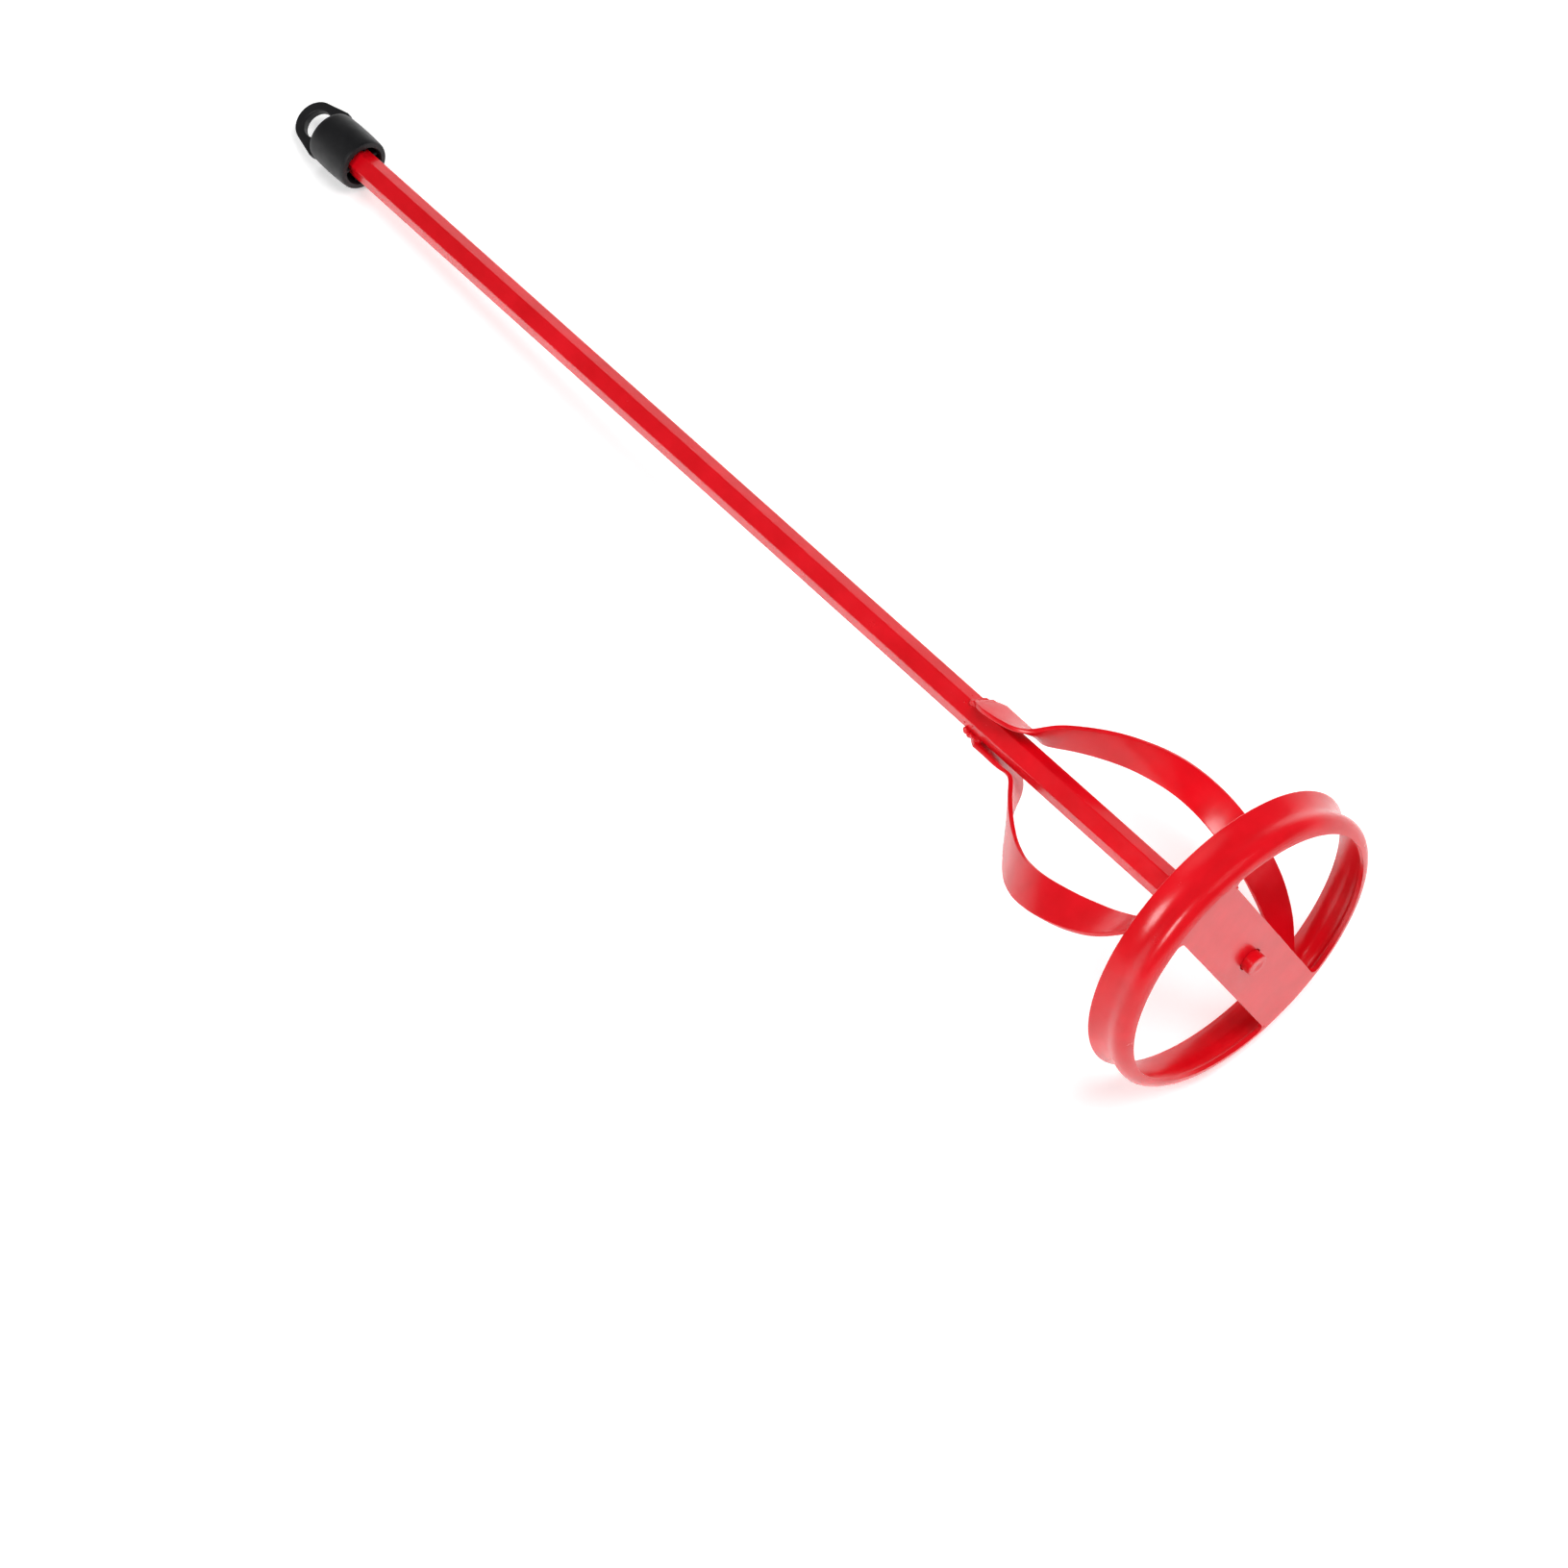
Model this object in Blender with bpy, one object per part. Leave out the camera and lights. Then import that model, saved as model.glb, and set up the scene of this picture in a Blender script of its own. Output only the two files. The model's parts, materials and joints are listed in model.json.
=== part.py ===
"""Drill paint mixer: a hexagonal shaft with two spiral blades, a pressed ring and a push-on hanging cap.

The mixer is modelled upright in its own frame, with +Z along the shaft from the ring to the cap and the
ring's underside at height 0. An empty then lays it on its side, resting on the ring's rim and the cap.
"""
import math

import bmesh
import bpy
import numpy as np
from mathutils import Matrix, Vector

GAP = 0.0003                    # clearance left between pieces that touch or are welded

# Hexagonal shaft
HEX_ACROSS_FLATS = 0.0080
HEX_EDGE_RADIUS = 0.0005
HEX_EDGE_STEPS = 2              # facets in one rounded edge of the bar
HEX_ROLL = math.radians(-7.8)   # turn of the hexagon from the ring's cross bar
SHAFT_CHAMFER = 0.0006
SPIGOT_DIAMETER = 0.0064
SPIGOT_STAND_OUT = 0.0028       # how far the spigot shows below the bar
SPIGOT_SIDES = 24
CAP_MOUTH_HEIGHT = 0.3920       # from the ring's underside to the mouth of the cap

# Pressed ring with its cross bar
SHEET = 0.0014
BULGE_RADIUS = 0.0444           # outside of the rounded foot of the ring
CORNER_RADIUS = 0.0036
CORNER_STEPS = 5
WAIST_DEPTH = 0.0010            # how far the wall draws in above the foot
RIM_FLARE = 0.00085             # how far the rim stands out past the foot
RING_HEIGHT = 0.0126
RIM_EDGE = 0.0012               # upright edge at the top of the flared rim
WAIST_LEAD = 0.2                # share of the waist's depth already reached just above the foot
FLARE_LEAD = 0.35               # share of the flare, in height and reach, at its middle bend
RING_SIDES = 64
BAR_WIDTH = 0.0195
OPENING_LAND = 0.0003           # flat sheet left between an opening and the rounded foot
OPENING_CORNER = 0.0018
OPENING_CORNER_STEPS = 4
OPENING_STEPS = 36

# Spiral blades
BLADE_WIDTH = 0.0103
BLADE_THICKNESS = 0.0015
BLADE_TOP = 0.1060              # height of the welded end on the shaft
BLADE_RIM_CLEARANCE = 0.0012    # between a landed blade and the inside of the ring
BLADE_STEPS = 56
BLADE_COUNT = 2
# One row per bend: share of the drop, share of the reach outwards, turn round the shaft, twist
BLADE_BENDS = (
    (0.000, 0.000, 0.0, 0.0),
    (0.043, 0.028, -9.5, -15.0),
    (0.135, 0.056, -6.5, -23.0),
    (0.193, 0.103, 11.0, -27.0),
    (0.251, 0.250, 39.5, -18.0),
    (0.376, 0.584, 62.5, -18.0),
    (0.560, 0.910, 80.0, -32.0),
    (0.801, 0.962, 96.0, -62.0),
    (1.000, 1.000, 124.5, -90.0),
)
BLADE_TRIM = (0.35, 0.80)       # share of its half width that each side loses at the sheared top
BLADE_TRIM_LENGTH = 0.12        # share of the blade over which that tapers off
PATH_STEP = 0.001               # share of the blade used to find its direction

# Weld beads
BEAD_LENGTH = 0.0056
BEAD_WIDTH = 0.0040
BEAD_RISE = 0.0016
BEAD_SEAT = 0.12                # share of a bead's rise cut off where it sits
BEAD_SIDES = 14
BEAD_RINGS = 8
FOOT_BEAD_WIDTH = 0.0020
FOOT_BEAD_RISE = 0.0024
FOOT_BEAD_HOLLOW = 0.45         # share of its width and rise left half way up

# Push-on cap with its hanging eye
CAP_LENGTH = 0.0180
CAP_RADIUS = 0.0083
CAP_SWELL = 0.00045             # how much the barrel swells half way along
CAP_MOUTH_CHAMFER = 0.0008
CAP_END_ROUND = 0.0010
CAP_WALL = 0.0021
CAP_END_WALL = 0.0016
CAP_SIDES = 40
CAP_END_STEPS = 3
CAP_SIDE_STEPS = 5              # bands up the swelling barrel
RIB_COUNT = 6
RIB_WIDTH = 0.0011
RIB_SET_BACK = 0.0016           # from the mouth to the start of a rib
EYE_HALF_WIDTH = 0.0088
EYE_TIP_RADIUS = 0.0071
EYE_HEIGHT = 0.0140             # from the cap's end to the tip of the eye
EYE_ROOT = 0.0012               # how far the eye's shoulders reach down over the barrel
EYE_THICKNESS = 0.0030
EYE_HOLE_RADIUS = 0.0046
EYE_HOLE_HEIGHT = 0.0059        # from the cap's end to the middle of the hole
EYE_STEPS = 20

# How the mixer lies
LIE_ROLL = math.radians(-23.9)  # turn of the cross bar from upright

# Sizes that follow from the ones above
HEX_APOTHEM = HEX_ACROSS_FLATS / 2
WAIST_RADIUS = BULGE_RADIUS - WAIST_DEPTH
RIM_RADIUS = BULGE_RADIUS + RIM_FLARE
BAR_TOP = SHEET + GAP
OPENING_RADIUS = BULGE_RADIUS - CORNER_RADIUS - OPENING_LAND
RING_INSIDE = BULGE_RADIUS - SHEET
BLADE_START_RADIUS = HEX_APOTHEM + GAP + BLADE_THICKNESS / 2
BLADE_END_RADIUS = RING_INSIDE - BLADE_RIM_CLEARANCE - BLADE_WIDTH / 2
BLADE_LAND = BAR_TOP + BLADE_THICKNESS / 2
CAP_BORE = CAP_RADIUS - CAP_WALL
SHARP_ANGLE = math.radians(32)
SHAFT_TOP = CAP_MOUTH_HEIGHT + CAP_LENGTH - CAP_END_WALL - 2 * GAP


# ---------------------------------------------------------------- shared tools

def clear_scene():
    for obj in list(bpy.data.objects):
        bpy.data.objects.remove(obj, do_unlink=True)


def enamel_and_plastic():
    """The two finishes: glossy red enamel on steel, and black moulded polyethylene."""
    finishes = {}
    for name, colour, roughness in (("red_enamel", (0.68, 0.012, 0.02, 1.0), 0.22),
                                    ("black_polyethylene", (0.022, 0.022, 0.024, 1.0), 0.45)):
        material = bpy.data.materials.new(name)
        material.use_nodes = True
        shader = material.node_tree.nodes["Principled BSDF"]
        shader.inputs["Base Color"].default_value = colour
        shader.inputs["Roughness"].default_value = roughness
        shader.inputs["Metallic"].default_value = 0.0
        material.diffuse_color = colour
        finishes[name] = material
    return finishes


def add_object(name, mesh_data, parent, material, at=(0, 0, 0)):
    mesh = bpy.data.meshes.new(name)
    mesh_data.to_mesh(mesh)
    mesh_data.free()
    mesh.shade_smooth()
    mesh.set_sharp_from_angle(angle=SHARP_ANGLE)
    obj = bpy.data.objects.new(name, mesh)
    bpy.context.scene.collection.objects.link(obj)
    obj.location = at
    obj.parent = parent
    if material is not None:
        mesh.materials.append(material)
    return obj


def add_tool(name, mesh_data, parent, at=(0, 0, 0)):
    """A cutter or an added block: it shapes another piece and isn't a piece itself."""
    obj = add_object(name, mesh_data, parent, None, at)
    obj.hide_render = True
    obj.display_type = 'WIRE'
    return obj


def combine(obj, tool, operation):
    change = obj.modifiers.new(tool.name, 'BOOLEAN')
    change.operation = operation
    change.solver = 'EXACT'
    change.object = tool


def turned(outline, sides, phase=0.0):
    """A solid of revolution from a closed outline of (radius, height) points, listed round its section."""
    shape = bmesh.new()
    rings = []
    for radius, height in outline:
        if radius == 0.0:
            rings.append([shape.verts.new((0.0, 0.0, height))])
            continue
        angles = [phase + 2 * math.pi * k / sides for k in range(sides)]
        rings.append([shape.verts.new((radius * math.cos(a), radius * math.sin(a), height)) for a in angles])
    for first, second in zip(rings, rings[1:] + rings[:1]):
        for k in range(sides):
            corners = [first[k % len(first)], first[(k + 1) % sides % len(first)],
                       second[(k + 1) % sides % len(second)], second[k % len(second)]]
            corners = list(dict.fromkeys(corners))
            if len(corners) > 2:
                shape.faces.new(corners)
    bmesh.ops.recalc_face_normals(shape, faces=shape.faces)
    return shape


def extruded(outline, low, high, axes=(0, 1, 2)):
    """A prism on a closed outline; axes says which coordinates hold the outline and the height."""
    shape = bmesh.new()
    levels = []
    for height in (low, high):
        ring = []
        for u, v in outline:
            point = [0.0, 0.0, 0.0]
            point[axes[0]], point[axes[1]], point[axes[2]] = u, v, height
            ring.append(shape.verts.new(point))
        levels.append(ring)
    shape.faces.new(levels[0])
    shape.faces.new(levels[1])
    count = len(outline)
    for k in range(count):
        nxt = (k + 1) % count
        shape.faces.new((levels[0][k], levels[0][nxt], levels[1][nxt], levels[1][k]))
    bmesh.ops.recalc_face_normals(shape, faces=shape.faces)
    return shape


def arc(centre, radius, start, end, steps):
    """Points on an arc, both ends included; angles in radians."""
    angles = [start + (end - start) * k / steps for k in range(steps + 1)]
    return [(centre[0] + radius * math.cos(a), centre[1] + radius * math.sin(a)) for a in angles]


def smooth_curve(values):
    """A natural cubic spline through evenly spaced values, as a function of a share from 0 to 1."""
    values = np.asarray(values, float)
    last = len(values) - 1
    system = np.eye(last + 1)
    right = np.zeros(last + 1)
    for k in range(1, last):
        system[k, k - 1:k + 2] = (1, 4, 1)
        right[k] = 6 * (values[k - 1] - 2 * values[k] + values[k + 1])
    bend = np.linalg.solve(system, right)

    def at(share):
        k = min(int(share * last), last - 1)
        t = share * last - k
        rest = 1 - t
        return (rest * values[k] + t * values[k + 1]
                + (rest ** 3 - rest) * bend[k] / 6 + (t ** 3 - t) * bend[k + 1] / 6)
    return at


# ---------------------------------------------------------------- shaft

def hexagon(apothem, edge_radius, roll):
    """Outline of a hexagonal bar with rounded edges; a flat faces the roll direction."""
    centre_radius = (apothem - edge_radius) / math.cos(math.pi / 6)
    outline = []
    for k in range(6):
        middle = roll + math.pi / 6 + k * math.pi / 3
        centre = (centre_radius * math.cos(middle), centre_radius * math.sin(middle))
        outline += arc(centre, edge_radius, middle - math.pi / 6, middle + math.pi / 6, HEX_EDGE_STEPS)
    return outline


def make_shaft(parent, material):
    """The hexagonal bar, chamfered at the top, with a round spigot turned on its lower end."""
    shape = bmesh.new()
    full = hexagon(HEX_APOTHEM, HEX_EDGE_RADIUS, HEX_ROLL)
    tip = hexagon(HEX_APOTHEM - SHAFT_CHAMFER, HEX_EDGE_RADIUS, HEX_ROLL)
    rings = []
    for outline, height in ((full, BAR_TOP), (full, SHAFT_TOP - SHAFT_CHAMFER), (tip, SHAFT_TOP)):
        rings.append([shape.verts.new((x, y, height)) for x, y in outline])
    count = len(full)
    for first, second in zip(rings, rings[1:]):
        for k in range(count):
            nxt = (k + 1) % count
            shape.faces.new((first[k], first[nxt], second[nxt], second[k]))
    shape.faces.new(rings[0])
    shape.faces.new(rings[-1])
    bmesh.ops.recalc_face_normals(shape, faces=shape.faces)
    shaft = add_object("hex_shaft", shape, parent, material)

    radius = SPIGOT_DIAMETER / 2
    spigot = turned([(0.0, -SPIGOT_STAND_OUT), (radius - GAP, -SPIGOT_STAND_OUT),
                     (radius, GAP - SPIGOT_STAND_OUT), (radius, BAR_TOP + HEX_APOTHEM),
                     (0.0, BAR_TOP + HEX_APOTHEM)], SPIGOT_SIDES)
    combine(shaft, add_tool("spigot_block", spigot, parent), 'UNION')
    return shaft


# ---------------------------------------------------------------- ring

def ring_section():
    """The pressed cup's section: flat floor, rounded foot, shallow waist and flared rim."""
    foot_centre = (BULGE_RADIUS - CORNER_RADIUS, CORNER_RADIUS)
    outside = arc(foot_centre, CORNER_RADIUS, -math.pi / 2, 0.0, CORNER_STEPS)
    inside = arc(foot_centre, CORNER_RADIUS - SHEET, -math.pi / 2, 0.0, CORNER_STEPS)
    waist_height = (CORNER_RADIUS + RING_HEIGHT) / 2 - RIM_EDGE / 2
    flare_low = waist_height + FLARE_LEAD * (RING_HEIGHT - RIM_EDGE - waist_height)
    wall = [(BULGE_RADIUS - WAIST_LEAD * WAIST_DEPTH, CORNER_RADIUS + GAP * 3),
            (WAIST_RADIUS, waist_height),
            (WAIST_RADIUS + FLARE_LEAD * (RIM_RADIUS - WAIST_RADIUS), flare_low),
            (RIM_RADIUS, RING_HEIGHT - RIM_EDGE),
            (RIM_RADIUS, RING_HEIGHT)]
    back = [(radius - SHEET, height) for radius, height in reversed(wall)]
    return [(0.0, 0.0)] + outside + wall + back + list(reversed(inside)) + [(0.0, SHEET)]


def opening_outline(side):
    """One D-shaped opening beside the bar, with rounded corners; side is +1 or -1."""
    corner = OPENING_CORNER
    chord = BAR_WIDTH / 2
    centre_y = chord + corner
    centre_x = math.sqrt((OPENING_RADIUS - corner) ** 2 - centre_y ** 2)
    meet = math.atan2(centre_y, centre_x)
    points = arc((centre_x, centre_y), corner, -math.pi / 2, meet, OPENING_CORNER_STEPS)
    points += arc((0.0, 0.0), OPENING_RADIUS, meet, math.pi - meet, OPENING_STEPS)[1:-1]
    points += arc((-centre_x, centre_y), corner, math.pi - meet, 1.5 * math.pi, OPENING_CORNER_STEPS)
    return [(x, side * y) for x, y in points]


def make_ring(parent, material):
    """The ring and its cross bar, drawn as one cup with two openings and a hole for the spigot."""
    rest_phase = math.pi - LIE_ROLL - math.pi / RING_SIDES
    cup = turned(ring_section(), RING_SIDES, rest_phase)
    ring = add_object("pressed_ring_with_bar", cup, parent, material)
    reach = SHEET + GAP
    for name, side in (("opening_cutter_left", 1), ("opening_cutter_right", -1)):
        cutter = add_tool(name, extruded(opening_outline(side), -reach, 2 * reach), parent)
        combine(ring, cutter, 'DIFFERENCE')
    radius = SPIGOT_DIAMETER / 2 + GAP
    hole = turned([(0.0, -reach), (radius, -reach), (radius, 2 * reach), (0.0, 2 * reach)], SPIGOT_SIDES)
    combine(ring, add_tool("spigot_hole_cutter", hole, parent), 'DIFFERENCE')
    return ring


# ---------------------------------------------------------------- blades

def blade_path():
    """Stations down one blade: centre, directions across and through it, share of width left on each side."""
    drop, reach, turn, twist = (smooth_curve(column) for column in zip(*BLADE_BENDS))
    start_angle = HEX_ROLL + math.pi / 3

    def centre(share):
        radius = BLADE_START_RADIUS + reach(share) * (BLADE_END_RADIUS - BLADE_START_RADIUS)
        angle = start_angle + math.radians(turn(share))
        height = BLADE_TOP + drop(share) * (BLADE_LAND - BLADE_TOP)
        return Vector((radius * math.cos(angle), radius * math.sin(angle), height)), angle

    stations = []
    for k in range(BLADE_STEPS + 1):
        share = k / BLADE_STEPS
        point, angle = centre(share)
        ahead = centre(min(share + PATH_STEP, 1.0))[0]
        behind = centre(max(share - PATH_STEP, 0.0))[0]
        along = (ahead - behind).normalized()
        round_shaft = Vector((-math.sin(angle), math.cos(angle), 0.0))
        level = (round_shaft - along * round_shaft.dot(along)).normalized()
        outwards = along.cross(level)
        lean = math.radians(twist(share))
        across = level * math.cos(lean) + outwards * math.sin(lean)
        sheared = max(0.0, 1.0 - share / BLADE_TRIM_LENGTH)
        sides = [1.0 - trim * sheared for trim in BLADE_TRIM]
        stations.append((point, across, along.cross(across), sides))
    return stations


def make_blade(name, turn, parent, material):
    shape = bmesh.new()
    rings = []
    for point, across, through, (near, far) in blade_path():
        ring = []
        for side, face in ((-near, -1), (far, -1), (far, 1), (-near, 1)):
            corner = point + across * (side * BLADE_WIDTH / 2) + through * (face * BLADE_THICKNESS / 2)
            ring.append(shape.verts.new(corner))
        rings.append(ring)
    for first, second in zip(rings, rings[1:]):
        for k in range(4):
            nxt = (k + 1) % 4
            shape.faces.new((first[k], first[nxt], second[nxt], second[k]))
    shape.faces.new(rings[0])
    shape.faces.new(rings[-1])
    bmesh.ops.triangulate(shape, faces=shape.faces)
    bmesh.ops.transform(shape, matrix=Matrix.Rotation(turn, 4, 'Z'), verts=shape.verts)
    bmesh.ops.recalc_face_normals(shape, faces=shape.faces)
    return add_object(name, shape, parent, material)


# ---------------------------------------------------------------- welds

def bead(length, width, rise):
    """A low rounded bead of weld on the plane z = 0, long along X."""
    shape = bmesh.new()
    bmesh.ops.create_uvsphere(shape, u_segments=BEAD_SIDES, v_segments=BEAD_RINGS, radius=1.0)
    bmesh.ops.scale(shape, vec=(length / 2, width / 2, rise), verts=shape.verts)
    cut = bmesh.ops.bisect_plane(shape, geom=shape.verts[:] + shape.edges[:] + shape.faces[:],
                                 plane_co=(0, 0, BEAD_SEAT * rise), plane_no=(0, 0, 1), clear_inner=True)
    edges = [item for item in cut["geom_cut"] if isinstance(item, bmesh.types.BMEdge)]
    bmesh.ops.contextual_create(shape, geom=edges)
    bmesh.ops.translate(shape, vec=(0, 0, -BEAD_SEAT * rise), verts=shape.verts)
    bmesh.ops.recalc_face_normals(shape, faces=shape.faces)
    return shape


def make_shaft_weld(name, turn, parent, material):
    """The bead that closes a blade's top end onto its flat of the shaft."""
    shape = bead(BEAD_LENGTH, BEAD_WIDTH, BEAD_RISE)
    facing = turn + HEX_ROLL + math.pi / 3
    outwards = Vector((math.cos(facing), math.sin(facing), 0.0))
    sideways = Vector((0.0, 0.0, 1.0)).cross(outwards)
    up = Vector((0.0, 0.0, 1.0))
    place = Matrix((sideways, up, outwards)).transposed().to_4x4()
    place.translation = outwards * (HEX_APOTHEM + GAP) + up * (BLADE_TOP + GAP + BEAD_WIDTH / 2)
    bmesh.ops.transform(shape, matrix=place, verts=shape.verts)
    return add_object(name, shape, parent, material)


def make_landing_weld(name, turn, parent, material):
    """The bead on the bar against a blade's lower end, long across the strip."""
    shape = bead(BEAD_LENGTH, BEAD_WIDTH, BEAD_RISE)
    point, across, through, _ = blade_path()[-1]
    along = across.cross(through)
    forward = Vector((along.x, along.y, 0.0)).normalized()
    upright = Vector((0.0, 0.0, 1.0))
    place = Matrix((forward.cross(upright), forward, upright)).transposed().to_4x4()
    beside = BEAD_WIDTH / 2 + BLADE_THICKNESS + GAP
    place.translation = Vector((point.x, point.y, BAR_TOP)) + forward * beside
    shape.transform(Matrix.Rotation(turn, 4, 'Z') @ place)
    return add_object(name, shape, parent, material)


def make_foot_weld(parent, material):
    """The fillet of weld where the shaft's shoulder meets the bar."""
    inner = HEX_APOTHEM / math.cos(math.pi / 6) + GAP
    low = BAR_TOP
    section = [(inner, low), (inner + FOOT_BEAD_WIDTH, low),
               (inner + FOOT_BEAD_HOLLOW * FOOT_BEAD_WIDTH, low + FOOT_BEAD_HOLLOW * FOOT_BEAD_RISE),
               (inner, low + FOOT_BEAD_RISE)]
    return add_object("shaft_foot_weld", turned(section, SPIGOT_SIDES), parent, material)


# ---------------------------------------------------------------- cap

def cap_section():
    """Barrel of the cap from its mouth at height 0, with a blind bore and softened corners."""
    chamfer = CAP_MOUTH_CHAMFER
    end_round = arc((CAP_RADIUS - CAP_END_ROUND, CAP_LENGTH - CAP_END_ROUND), CAP_END_ROUND, 0.0, math.pi / 2,
                    CAP_END_STEPS)
    bore_end = CAP_LENGTH - CAP_END_WALL
    side = []
    for k in range(1, CAP_SIDE_STEPS):
        share = k / CAP_SIDE_STEPS
        swell = CAP_SWELL * math.sin(math.pi * share)
        side.append((CAP_RADIUS + swell, share * CAP_LENGTH))
    return ([(CAP_BORE + chamfer / 2, 0.0), (CAP_RADIUS - chamfer, 0.0), (CAP_RADIUS, chamfer)] + side + end_round
            + [(0.0, CAP_LENGTH), (0.0, bore_end), (CAP_BORE, bore_end), (CAP_BORE, chamfer)])


def eye_outline():
    """The flat tongue: square shoulders over the barrel, straight sides and a round tip."""
    tip_centre = CAP_LENGTH + EYE_HEIGHT - EYE_TIP_RADIUS
    root = CAP_LENGTH - EYE_ROOT
    shoulder = root + EYE_ROOT
    rise = tip_centre - shoulder
    lean = math.atan2(EYE_HALF_WIDTH - EYE_TIP_RADIUS, rise)
    tip = arc((0.0, tip_centre), EYE_TIP_RADIUS, lean, math.pi - lean, EYE_STEPS)
    right = [(CAP_RADIUS - CAP_END_ROUND, root), (EYE_HALF_WIDTH - GAP, root), (EYE_HALF_WIDTH, shoulder)]
    left = [(-x, z) for x, z in reversed(right)]
    return right + tip + left


def make_cap(parent, material):
    """The push-on cap: barrel, hanging eye and the ribs that grip the shaft's flats."""
    mouth = (0.0, 0.0, CAP_MOUTH_HEIGHT)
    rest_phase = math.pi - LIE_ROLL - math.pi / CAP_SIDES
    cap = add_object("hanging_cap", turned(cap_section(), CAP_SIDES, rest_phase), parent, material, mouth)

    half = EYE_THICKNESS / 2
    eye = add_tool("eye_block", extruded(eye_outline(), -half, half, (1, 2, 0)), parent, mouth)
    combine(cap, eye, 'UNION')
    hole_centre = (0.0, CAP_LENGTH + EYE_HOLE_HEIGHT)
    hole_outline = arc(hole_centre, EYE_HOLE_RADIUS, 0.0, 2 * math.pi, 2 * EYE_STEPS)[:-1]
    hole = add_tool("eye_hole_cutter", extruded(hole_outline, -2 * half, 2 * half, (1, 2, 0)), parent, mouth)
    combine(cap, hole, 'DIFFERENCE')

    grip = HEX_APOTHEM + GAP
    embed = CAP_BORE + CAP_WALL / 2
    for k in range(RIB_COUNT):
        edge = RIB_WIDTH / 2
        rib_outline = [(grip, -edge), (embed, -edge), (embed, edge), (grip, edge)]
        shape = extruded(rib_outline, RIB_SET_BACK, CAP_LENGTH - CAP_END_WALL / 2)
        angle = HEX_ROLL + k * 2 * math.pi / RIB_COUNT
        bmesh.ops.rotate(shape, matrix=Matrix.Rotation(angle, 3, 'Z'), verts=shape.verts)
        combine(cap, add_tool("grip_rib_%d" % (k + 1), shape, parent, mouth), 'UNION')
    return cap


# ---------------------------------------------------------------- placing

def lay_down(parent):
    """Turn the mixer on its side so that the ring's rim and the cap's barrel both touch the ground."""
    slope = min(math.atan2(RIM_RADIUS - radius, CAP_MOUTH_HEIGHT + height - RING_HEIGHT)
                for radius, height in cap_section())
    tilt = Matrix.Rotation(-(math.pi / 2 + slope), 4, 'Y')
    parent.matrix_world = tilt @ Matrix.Rotation(LIE_ROLL, 4, 'Z')


def centre_on_ground(parent, pieces):
    """Move the mixer so that the middle of its footprint is the origin and it rests on z = 0."""
    bpy.context.view_layer.update()
    shapes = bpy.context.evaluated_depsgraph_get()
    points = []
    for piece in pieces:
        final = piece.evaluated_get(shapes)
        points += [final.matrix_world @ vertex.co for vertex in final.data.vertices]
    low = Vector(min(p[k] for p in points) for k in range(3))
    high = Vector(max(p[k] for p in points) for k in range(3))
    middle = (low + high) / 2
    parent.matrix_world = Matrix.Translation((-middle.x, -middle.y, -low.z)) @ parent.matrix_world


def main():
    clear_scene()
    finishes = enamel_and_plastic()
    red = finishes["red_enamel"]
    mixer = bpy.data.objects.new("lying_mixer", None)
    bpy.context.scene.collection.objects.link(mixer)

    pieces = [make_shaft(mixer, red), make_ring(mixer, red), make_foot_weld(mixer, red)]
    for k in range(BLADE_COUNT):
        turn = 2 * math.pi * k / BLADE_COUNT
        letter = "ab"[k]
        pieces.append(make_blade("spiral_blade_" + letter, turn, mixer, red))
        pieces.append(make_shaft_weld("shaft_weld_" + letter, turn, mixer, red))
        pieces.append(make_landing_weld("bar_weld_" + letter, turn, mixer, red))
    pieces.append(make_cap(mixer, finishes["black_polyethylene"]))

    lay_down(mixer)
    centre_on_ground(mixer, pieces)


main()
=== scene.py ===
"""Drill paint mixer, lying on its side: enamelled steel pieces, weld beads and a black push-on cap.

Every piece is drawn upright in the mixer's own frame, with +Z up the shaft from the ring's underside and
+X along the cross bar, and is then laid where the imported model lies.
"""
import json
import math

import bmesh
import bpy
import numpy as np
from mathutils import Matrix, Vector, noise


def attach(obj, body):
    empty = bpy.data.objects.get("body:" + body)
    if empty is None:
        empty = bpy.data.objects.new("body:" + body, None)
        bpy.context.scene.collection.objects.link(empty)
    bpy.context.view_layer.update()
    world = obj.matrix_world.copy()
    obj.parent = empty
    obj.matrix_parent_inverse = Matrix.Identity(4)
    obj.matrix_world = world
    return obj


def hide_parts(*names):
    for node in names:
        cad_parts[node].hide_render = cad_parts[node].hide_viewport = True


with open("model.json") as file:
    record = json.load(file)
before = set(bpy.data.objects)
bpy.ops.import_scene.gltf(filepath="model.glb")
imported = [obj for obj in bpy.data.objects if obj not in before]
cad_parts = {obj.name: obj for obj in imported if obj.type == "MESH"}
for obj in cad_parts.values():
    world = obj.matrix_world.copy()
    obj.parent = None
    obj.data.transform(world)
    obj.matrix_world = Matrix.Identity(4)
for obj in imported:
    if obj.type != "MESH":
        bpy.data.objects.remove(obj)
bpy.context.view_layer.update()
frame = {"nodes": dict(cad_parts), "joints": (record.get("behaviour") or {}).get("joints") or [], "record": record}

# ---------------------------------------------------------------- the mixer's own frame


def own_frame():
    """From the mixer's own frame to where it lies, worked out from the record's joint and mounts."""
    mounts = {mount["name"]: Vector(mount["pos_m"]) for mount in frame["record"]["mounts"]}
    up = Vector(frame["joints"][0]["axis"]).normalized()
    shank = mounts["shank"]
    foot = shank + up * (mounts["bar_face"] - shank).dot(up)
    along_bar = (mounts["bar_face"] - foot).normalized()
    place = Matrix((along_bar, up.cross(along_bar), up)).transposed().to_4x4()
    place.translation = foot
    return place


PLACE = own_frame()


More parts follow.
